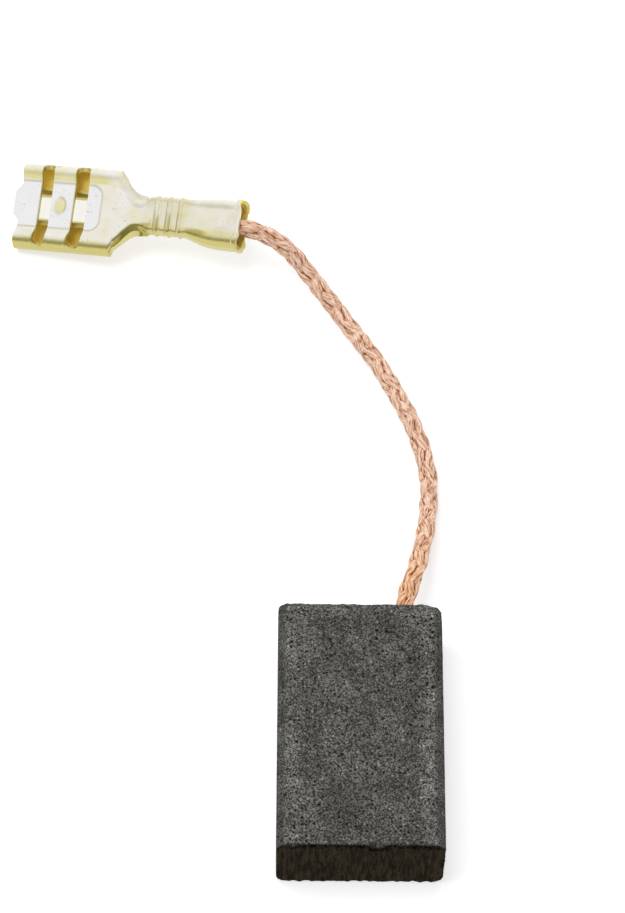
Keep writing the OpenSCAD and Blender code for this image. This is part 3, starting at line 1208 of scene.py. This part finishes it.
    def _rows(self) -> list[float]:
        """Places across the half blank where its mesh has a row."""
        marks = [(0.0, 0.12), (self.lip_half[1], 0.1), (self.pad_half - 0.06, 0.05)]
        marks += [(self.pad_half + 0.09, 0.1), (self.slit[1], 0.1), (self.slot_end[0], 0.1)]
        marks += [(self.slot_end[1], 0.1), (self.notch_s, 0.11), (self._full_s(), 0.1)]
        half = self._filled(sorted(marks))
        return [-s for s in reversed(half[1:])] + half

    def _full_s(self) -> float:
        """Half width of the blank where the rolls are."""
        return self.track.at(0.0).length() + self.roll_spare

    @staticmethod
    def _filled(marks: Sequence[tuple[float, float]]) -> list[float]:
        """Marks with even points after each, no further apart than the mark's step."""
        out = [marks[0][0]]
        for (a, step), (b, _) in zip(marks, marks[1:]):
            count = max(1, math.ceil((b - a) / step - 1e-6))
            out += [a + (b - a) * i / count for i in range(1, count + 1)]
        return out

    def _blank(self) -> bpy.types.Object:
        """Flat grid whose columns and rows fall on the blank's cuts."""
        columns, rows = self._columns(), self._rows()
        bpy.ops.object.select_all(action="DESELECT")
        bpy.ops.mesh.primitive_grid_add(
            x_subdivisions=len(columns) - 1, y_subdivisions=len(rows) - 1, size=2.0
        )
        blank = bpy.context.object
        blank.name = "folded_terminal"
        wide, deep = len(columns) - 1, len(rows) - 1
        for vertex in blank.data.vertices:
            i = round((vertex.co.x + 1.0) / 2.0 * wide)
            j = round((vertex.co.y + 1.0) / 2.0 * deep)
            vertex.co = (columns[i], rows[j], 0.0)
        return blank

    def _cut_out(self, blank: bpy.types.Object) -> None:
        """Deletes the slots, the notches behind the rolls and the sides of the lip."""

        def is_waste(face: bpy.types.MeshPolygon) -> bool:
            """Whether a face lies in a cut-out."""
            u, s = face.center.x, abs(face.center.y)
            end = self.slot_end[face.center.y > 0.0]
            in_slot = any(abs(u - m) < w / 2 for m, w in self.slots) and s < end
            beside_lip = u < 0.0 and s > self.lip_half[1]
            behind = u - self.receptacle
            in_slit = 0.0 < behind < self.slit[0] and s > self.slit[1]
            return in_slot or beside_lip or in_slit or (behind > 0.0 and s > self.notch_s)

        edit_select(blank, "FACE", is_waste)
        bpy.ops.mesh.delete(type="FACE")
        leave_edit()

    # -- folding
    def _fold(self, blank: bpy.types.Object) -> None:
        """Bends the flat blank into the terminal, with its pad, dimple and ribs."""
        folded = [self._folded(v.co.x, v.co.y) for v in blank.data.vertices]
        for vertex, point in zip(blank.data.vertices, folded):
            vertex.co = point.place
        store(blank, "bend", (point.bend for point in folded))
        # Painted shade and dark reflections, kept for the material.
        store(blank, "press", (point.press for point in folded))

    def _folded(self, u: float, flat_s: float) -> FoldedPoint:
        """Takes one point of the flat blank to its place on the terminal.

        Args:
            u: Place along the blank.
            flat_s: Place across it, negative on the side of the block.

        Returns:
            The folded point.
        """
        far = flat_s > 0.0
        side = 1.0 if far else -1.0
        s = self._rounded_slot(u, abs(flat_s), self.slot_end[far])
        if u < 0.0:
            s *= lerp(self.lip_half[1], self.lip_half[0], -u / self.lip) / self.lip_half[1]
        section = self.track.at(u)
        if u > self.receptacle:
            s *= lerp(1.0, section.length() / self.notch_s, fade(u, 8.0, 8.2))
            if far:
                section = self._eased(section, fade(u, 8.2, 8.6) * fade(u, 11.0, 10.3))
        elif not far:
            section = replace(
                section, flat=section.flat + self.near_tuck, bend_r=section.bend_r - self.near_tuck,
                wall=section.wall + self.near_curl,
            )
        v, n, turned = section.at(s)
        outside = fade(turned, 2.2, 1.6)
        height, press = self._relief(u, side * v)
        v += height * outside * math.sin(turned)
        n += height * outside * math.cos(turned)
        place_u = u + self._end_shift(u, s, v, far)
        across = side * v + self._drift_at(u)
        place = self.frame.place(place_u, across, n - self.sheet / 2)
        # bend is the share of yellow against the pale painted highlight, a painted reflection set by
        # how the sheet is turned, the pad's edge and the dimple.
        bend, painted_dark = self._colouring(u, section, s, turned, far)
        v = side * v
        pad = fade(self._pad_gap(u, v), 0.0, 0.12)
        dimple = fade(self._dimple_reach(u, v), 1.05, 0.9)
        bend = max(bend, 0.36 * pad, dimple * 0.6)
        # Patches add their painted shade.
        for patch in self.painted_shade_patches:
            painted_dark = max(painted_dark, patch.strength(u, v))
        return FoldedPoint(place, bend, max(press * outside, painted_dark))

    def _eased(self, section: Section, share: float) -> Section:
        """A section whose side bend is rounder, with its edge left in its place."""
        more = self.far_ease * share
        taken = more * math.radians(section.bend)
        return replace(
            section, bend_r=section.bend_r + more, wall=max(0.05, section.wall - taken * 0.6),
            flat=section.flat - taken * 0.4,
        )

    def _drift_at(self, u: float) -> float:
        """How far the section stands off the axis, eased along the terminal."""
        for (a, low), (b, high) in zip(self.drift, self.drift[1:]):
            if a <= u <= b:
                return lerp(low, high, smooth_step((u - a) / (b - a)))
        return 0.0

    def _rounded_slot(self, u: float, s: float, end: float) -> float:
        """Moves a row so that each slot ends in a half ellipse."""
        for middle, width in self.slots:
            off = abs(u - middle) / (width / 2)
            back = self.slot_round * (1.0 - math.sqrt(max(0.0, 1.0 - off * off)))
            s -= back * fade(off, 2.0, 1.0) * fade(abs(s - end), 1.5, 0.0)
        return s

    def _end_shift(self, u: float, s: float, v: float, far: bool) -> float:
        """Draws the rolls towards the entry and cuts the mouth back at its bends."""
        settled = fade(u, 8.0, 5.6) if far else fade(u, 9.0, 8.0)
        lead = self.roll_lead[far] * settled + self.entry_lead[far] * fade(u, 1.2, 0.0)
        shift = -lead * fade(v, *self.lead_across)
        for middle, width in self.slots:
            edge = fade(abs(u - (middle - width / 2)), 0.45, 0.0)
            shift -= self.slot_flare[far] * edge * fade(abs(s - self.flare_at), 0.8, 0.2)
        reach = fade(abs(s - self.mouth_bends[far]), 0.95, 0.15)
        return shift - self.mouth_notch * reach * fade(u, self.mouth_from, self.length)

    def _relief(self, u: float, v: float) -> tuple[float, float]:
        """Height above the plain sheet, and painted shade from 0 to 1 along the pad's edge, round
        the dimple and beside the ribs, at a place.
        """
        gap = self._pad_gap(u, v)
        dimple = self._dimple_reach(u, v)
        height = self.pad_rise * fade(gap, 0.06, -0.05)
        height -= self.dimple_depth * fade(dimple, 1.12, 0.86)
        # Painted shade: a dark line along the pad's edge, and a ring round the dimple that is darker
        # on one side.
        press = 0.55 * fade(abs(gap - 0.05), 0.14, 0.0)
        rim = 0.12 + 0.7 * fade(u + v * 0.4, self.dimple_at - 0.1, self.dimple_at + 0.4)
        press += rim * fade(abs(dimple - 1.0), 0.22, 0.0)
        for crest, rise in self.ribs:
            off = u - crest + 0.03 * grain((crest, v, 0.0), 0.9)
            height += rise * fade(abs(off), self.rib_half, 0.0)
            # Painted shade beside each rib, behind its crest and stronger on the near side.
            low = 0.35 + 0.65 * fade(v, 0.5, -0.1)
            press = max(press, 7.5 * rise * low * fade(abs(off + self.rib_shade_offset), 0.15, 0.03))
        height += self.bell * fade(u, *(self.length - back for back in self.bell_from))
        height += 0.012 * grain((u, v, 0.0), 1.3, 2.0) + 0.005 * grain((u, v, 0.0), 0.5, 6.0)
        return height, min(1.0, press)

    def _pad_gap(self, u: float, v: float) -> float:
        """Distance outside the raised pad's outline, negative on the pad."""
        r = self.pad_round
        du, dv = u - (self.pad_end - r), abs(v) - (self.pad_half - r)
        if du < 0.0 or dv < 0.0:
            return max(u - self.pad_end, abs(v) - self.pad_half)
        return math.hypot(du, dv) - r

    def _dimple_reach(self, u: float, v: float) -> float:
        """Distance from the middle of the locking dimple, 1 at its rim."""
        return math.hypot((u - self.dimple_at) / self.dimple_half[0], v / self.dimple_half[1])

    def _colouring(
        self, u: float, section: Section, s: float, turned: float, far: bool
    ) -> tuple[float, float]:
        """How yellow the sheet is where it is bent, as painted reflection, and how dark its painted
        shade is.

        Args:
            u: Place along the terminal.
            section: The section there.
            s: Length along the sheet from its middle.
            turned: The sheet's angle below level, in radians.
            far: Whether the point lies on the side away from the block.

        Returns:
            Share of the bend's colour and strength of the painted shade.
        """
        arc = section.bend_r * math.radians(section.bend)
        past = fade(s, section.flat, section.flat + min(arc, 0.6))
        rolls = fade(u, self.receptacle + 0.3, self.receptacle)
        # The neck is made yellower and a little darker as painted reflection.
        neck = fade(u, 9.8, 10.8) * (0.35 + 0.65 * fade(u, 15.2, 14.0))
        if far:
            # Far side: painted reflection makes the band beside the pad and the turned-down bend
            # yellow, with light painted shade towards the silhouette.
            beside = fade(s, self.pad_half - 0.05, 2.2) * fade(s, 3.3, 2.5) * fade(u, 8.4, 6.8)
            bend = max(beside * 0.75, 0.4 * past, 0.8 * fade(turned, 0.9, 1.3))
            painted_dark = max(0.06 * beside, 0.26 * fade(turned, 0.8, 1.3))
        else:
            # Near side: painted shade darkens the slope down to the shoulder and the lower bend, as
            # a dark reflection would.
            bend = past
            slope = fade(turned, 0.2, 0.5) * fade(u, 8.0, 8.3) * fade(u, 11.3, 10.9)
            painted_dark = max(slope, 0.6 * fade(turned, 0.35, 0.7), 0.22 * past * (1.0 - rolls))
            bend = max(bend, 0.75 * fade(u, 10.0, 10.8) * fade(s, 0.4, 1.15))
        # Painted shadow along the slots' edges, on the rolls only.
        painted_dark = max(painted_dark, self._cut_shade(u, s, far) * rolls)
        return max(bend, 0.45 * neck), max(painted_dark, 0.12 * neck)

    def _cut_shade(self, u: float, s: float, far: bool) -> float:
        """How much painted shadow darkens a slot's left edge and the rim round its end."""
        shade = 0.0
        for middle, width in self.slots:
            left = fade(abs(u - (middle - width / 2)), 0.12, 0.03) * fade(s, self.slot_end[far], 3.2)
            off = min(1.0, abs(u - middle) / (width / 2 + 0.1))
            arc = self.slot_end[far] - self.slot_round * (1.0 - math.sqrt(1.0 - off * off))
            end = fade(abs(s - arc), 0.14, 0.04) if off < 1.0 else 0.0
            shade = max(shade, left, 0.6 * end)
        return shade

    def _thicken(self, blank: bpy.types.Object) -> None:
        """Gives the sheet its thickness, marks its inner face and rounds its cut edges."""
        solid = blank.modifiers.new("sheet", "SOLIDIFY")
        solid.thickness = self.sheet
        solid.offset = 0.0
        solid.use_rim = True
        solid.use_quality_normals = True
        outer = len(blank.data.vertices)
        finish_modifiers(blank)
        store(blank, "inner", (0.0 if v.index < outer else 1.0 for v in blank.data.vertices))
        bevel = blank.modifiers.new("edges", "BEVEL")
        bevel.width = self.edge_round
        bevel.segments = 2
        bevel.limit_method = "ANGLE"
        bevel.angle_limit = math.radians(self.sharp)
        finish_modifiers(blank)
        blank.data.transform(Matrix.Scale(MM, 4))
        smooth(blank, self.sharp)


# --------------------------------------------------------------------------- studio
@dataclass(frozen=True)
class Viewpoint:
    """Camera that looks down on the brush from the running face's side."""

    target: Point = (-0.003616, 0.02683, 0.0)
    distance: float = 0.2768
    elevation: float = 59.1
    azimuth: float = 1.0
    roll: float = 1.4
    focal: float = 3.79

    def build(self) -> bpy.types.Object:
        """Adds the camera and makes it the scene's; focal is in picture heights.

        Returns:
            The camera.
        """
        data = bpy.data.cameras.new("viewpoint")
        data.lens = data.sensor_width * self.focal
        data.clip_start = 0.001
        camera = bpy.data.objects.new("viewpoint", data)
        bpy.context.collection.objects.link(camera)
        rise, turn, roll = (math.radians(a) for a in (self.elevation, self.azimuth, self.roll))
        ahead = Vector((
            math.sin(turn) * math.cos(rise), math.cos(turn) * math.cos(rise), -math.sin(rise)
        ))
        right = ahead.cross(Vector((0.0, 0.0, 1.0))).normalized()
        up = right.cross(ahead)
        right, up = rolled(right, up, roll)
        place = Vector(self.target) - ahead * self.distance
        turned = Matrix((right, up, -ahead)).transposed().to_4x4()
        camera.matrix_world = Matrix.Translation(place) @ turned
        bpy.context.scene.camera = camera
        return camera


@dataclass(frozen=True)
class Panel:
    """One soft rectangular lamp."""

    name: str
    place: Point
    aim: Point
    size: tuple[float, float]
    power: float

    def build(self) -> None:
        """Adds the lamp, turned to what it lights."""
        data = bpy.data.lights.new(self.name, "AREA")
        data.shape = "RECTANGLE"
        data.size, data.size_y = self.size
        data.energy = self.power
        lamp = bpy.data.objects.new(self.name, data)
        lamp.visible_glossy = False
        bpy.context.collection.objects.link(lamp)
        away = Vector(self.aim) - Vector(self.place)
        lamp.matrix_world = (
            Matrix.Translation(self.place) @ away.to_track_quat("-Z", "Y").to_matrix().to_4x4()
        )


@dataclass(frozen=True)
class SoftGlow:
    """One soft brighter or darker part of the surroundings that metal reflects."""

    heading: Point
    near: float
    far: float
    change: float


@dataclass
class Studio:
    """Pale floor, soft surroundings and soft lamps."""

    floor_half: float = 1.5
    fill: float = 0.40
    mirrored: float = 0.93
    glows: tuple[SoftGlow, ...] = (
        SoftGlow((-0.363, -0.121, 0.923), 12.0, 30.0, 0.11),
        SoftGlow((-0.29, 0.25, 0.925), 3.0, 18.0, -0.20),
        SoftGlow((-0.079, 0.945, 0.317), 12.0, 30.0, 0.14),
    )
    flag: float = -0.50

    def build(self) -> None:
        """Makes floor, sky and lamps."""
        self._floor()
        self._sky()
        for panel in (
            Panel("key", (-0.17, 0.02, 0.54), (-0.005, 0.03, 0.0), (0.30, 0.34), 2.0),
            Panel("back", (0.10, 0.60, 0.34), (0.0, 0.02, 0.0), (0.5, 0.25), 1.3),
        ):
            panel.build()

    def _floor(self) -> None:
        """Plain white floor, level with the surface that the brush lies on."""
        bpy.ops.object.select_all(action="DESELECT")
        bpy.ops.mesh.primitive_plane_add(size=2.0 * self.floor_half)
        floor = bpy.context.object
        floor.name = "floor"
        dress(floor, self._floor_material())

    def _floor_material(self) -> bpy.types.Material:
        """White to the eye and in reflections, greyer in the light that it throws back."""
        s = Shader("pale_floor")
        plain = s.node("BsdfDiffuse", {}, {"Color": (0.55, 0.55, 0.55)})
        glow = s.node("Emission", {}, {"Color": (1.0, 1.0, 1.0), "Strength": 0.60})
        both = s.node("AddShader", {}, {0: plain.outputs[0], 1: glow.outputs[0]})
        dim = s.node("BsdfDiffuse", {}, {"Color": (0.40, 0.40, 0.40)})
        return s.close(
            s.node("MixShader", {}, {0: s.seen(), 1: dim.outputs[0], 2: both.outputs[0]})
        )

    def _sky(self) -> None:
        """Even soft light, with the panels and the dark flag that polished metal shows."""
        s = Shader("surroundings", world=True)
        heading = s.node("TexCoord").outputs["Generated"]
        level = self.mirrored + self._flag(s, heading)
        for glow in self.glows:
            level = level + self._glow(s, heading, glow)
        path = s.node("LightPath")
        eye, mirror = s.number(path, "Is Camera Ray"), s.number(path, "Is Glossy Ray")
        strength = eye.most(mirror * level).most(self.fill)
        white = s.node("Background", {}, {"Strength": strength})
        white.inputs["Color"].default_value = (1.0, 1.0, 1.0, 1.0)
        bpy.context.scene.world = s.close(white)

    @staticmethod
    def _glow(s: Shader, heading: bpy.types.NodeSocket, glow: SoftGlow) -> Number:
        """Change of level round one heading."""
        node = s.node("VectorMath", {"operation": "DOT_PRODUCT"}, {0: heading})
        node.inputs[1].default_value = glow.heading
        near, far = (math.cos(math.radians(a)) for a in (glow.near, glow.far))
        return s.number(node, "Value").rise(far, near) * glow.change

    def _flag(self, s: Shader, heading: bpy.types.NodeSocket) -> Number:
        """Dark strip that stands low on the side of the camera."""
        height, front = s.axis(heading, 2), s.axis(heading, 1)
        return height.rise(0.62, 0.34) * front.rise(-0.05, -0.5) * self.flag


def main() -> None:
    """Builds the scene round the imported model."""
    logging.basicConfig(level=logging.INFO, format="%(name)s: %(message)s")
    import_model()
    bpy.context.scene.view_settings.view_transform = "Standard"
    Viewpoint().build()
    frame = TerminalFrame()
    route = BraidRoute(frame)
    terminal = PushOnTerminal(frame).build()
    LOG.info("terminal: %d faces", len(terminal.data.polygons))
    braid = WovenShunt(route).build(terminal)
    LOG.info("braid: %.1f mm, %d faces", route.length, len(braid.data.polygons))
    block = CarbonBlock().build()
    LOG.info("block: %d faces", len(block.data.polygons))
    TampedPlug().build()
    Studio().build()


if __name__ == "__main__":
    main()
